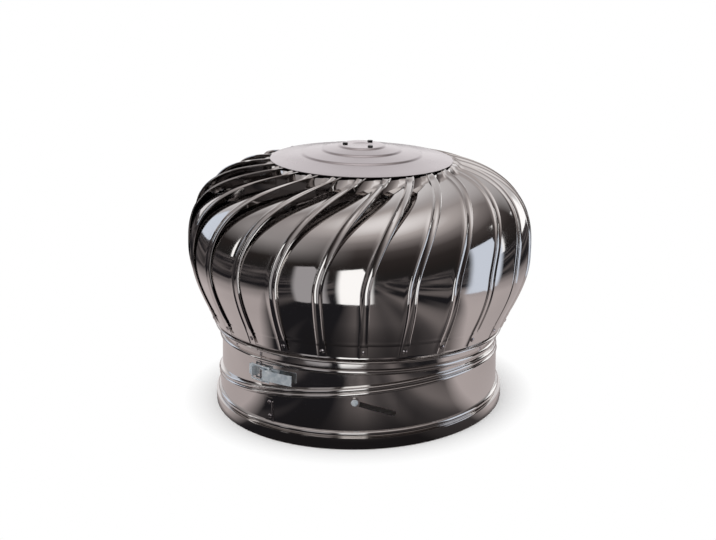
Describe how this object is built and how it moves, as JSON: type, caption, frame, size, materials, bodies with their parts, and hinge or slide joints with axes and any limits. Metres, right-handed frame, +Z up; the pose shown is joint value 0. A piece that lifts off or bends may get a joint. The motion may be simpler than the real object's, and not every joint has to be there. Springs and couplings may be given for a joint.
{
  "type": "roof turbine ventilator",
  "caption": "Wind-driven roof turbine ventilator: swirled vanes on a leaning adjustable neck of two obliquely cut collars, slipping over a round duct.",
  "frame": {"origin": "middle of the bottom rim, on the axis of the duct skirt", "axes": "+Z up along the duct axis; -Y is the side with the lock screw and its slanted slot; the head leans to +Y"},
  "size_m": [0.5945, 0.5941, 0.4502],
  "materials": {
    "polished_stainless": "mirror polished",
    "satin_stainless": "satin",
    "zinc": "zinc plated",
    "shaft_steel": "turned",
    "bearing_steel": "ground",
    "cage_brass": "pressed"
  },
  "bodies": {
    "base": {"lower_collar": "polished_stainless", "seam_strip": "polished_stainless", "seam_rivets": "satin_stainless", "lock_screw": "zinc", "lock_washers": "zinc", "lock_nut": "zinc"},
    "neck": {"upper_collar": "polished_stainless", "support_bracket": "polished_stainless", "bracket_rivets": "satin_stainless", "shaft": "shaft_steel", "shaft_nuts": "zinc", "shaft_washers": "zinc", "lower_inner_race": "bearing_steel", "upper_inner_race": "bearing_steel", "latch_base": "zinc", "latch_keeper": "zinc", "latch_rivets": "zinc", "lever_pin": "zinc"},
    "rotor": {"bottom_ring": "polished_stainless", "ring_rivets": "satin_stainless", "crown_cap": "satin_stainless", "clamp_ring": "polished_stainless", "spider": "polished_stainless", "spider_rivets": "satin_stainless", "lower_bearing_housing": "polished_stainless", "upper_bearing_housing": "polished_stainless", "lower_outer_race": "bearing_steel", "upper_outer_race": "bearing_steel", "housing_screws": "zinc", "vane_01": "polished_stainless", "vane_02": "polished_stainless", "vane_03": "polished_stainless", "vane_04": "polished_stainless", "vane_05": "polished_stainless", "vane_06": "polished_stainless", "vane_07": "polished_stainless", "vane_08": "polished_stainless", "vane_09": "polished_stainless", "vane_10": "polished_stainless", "vane_11": "polished_stainless", "vane_12": "polished_stainless", "vane_13": "polished_stainless", "vane_14": "polished_stainless", "vane_15": "polished_stainless", "vane_16": "polished_stainless", "vane_17": "polished_stainless", "vane_18": "polished_stainless", "vane_19": "polished_stainless", "vane_20": "polished_stainless", "vane_21": "polished_stainless", "vane_22": "polished_stainless", "vane_23": "polished_stainless", "vane_24": "polished_stainless"},
    "lower_cage": {"lower_ball_cage": "cage_brass"},
    "upper_cage": {"upper_ball_cage": "cage_brass"},
    "lever": {"latch_lever": "zinc"},
    "loop": {"latch_loop": "zinc"}
  },
  "joints": [
    {"name": "pitch_swivel", "type": "hinge", "parent": "base", "child": "neck", "pos_m": [0, 0, 0.0715], "axis": [-0.0715, 0.1129, 0.991], "range_deg": [-34.4, 145.6]},
    {"name": "rotor_spin", "type": "hinge", "parent": "neck", "child": "rotor", "pos_m": [0.0066, 0.01353, 0.26993], "axis": [0.0332, 0.068, 0.9971], "continuous": true},
    {"name": "lower_cage_spin", "type": "hinge", "parent": "neck", "child": "lower_cage", "pos_m": [0.00351, 0.00721, 0.1772], "axis": [0.0332, 0.068, 0.9971], "continuous": true},
    {"name": "upper_cage_spin", "type": "hinge", "parent": "neck", "child": "upper_cage", "pos_m": [0.01167, 0.02393, 0.42249], "axis": [0.0332, 0.068, 0.9971], "continuous": true},
    {"name": "latch_lever", "type": "hinge", "parent": "neck", "child": "lever", "pos_m": [-0.1581, -0.18254, 0.10926], "axis": [-0.0332, -0.068, -0.9971], "range_deg": [0, 150]},
    {"name": "latch_loop", "type": "hinge", "parent": "lever", "child": "loop", "pos_m": [-0.14882, -0.19014, 0.10947], "axis": [-0.0332, -0.068, -0.9971], "range_deg": [-150, 0]}
  ],
  "couplings": [
    {"joint": "lower_cage_spin", "follows": "rotor_spin", "ratio": 0.5748},
    {"joint": "upper_cage_spin", "follows": "rotor_spin", "ratio": 0.5748},
    {"joint": "latch_loop", "follows": "latch_lever", "ratio": -1}
  ]
}
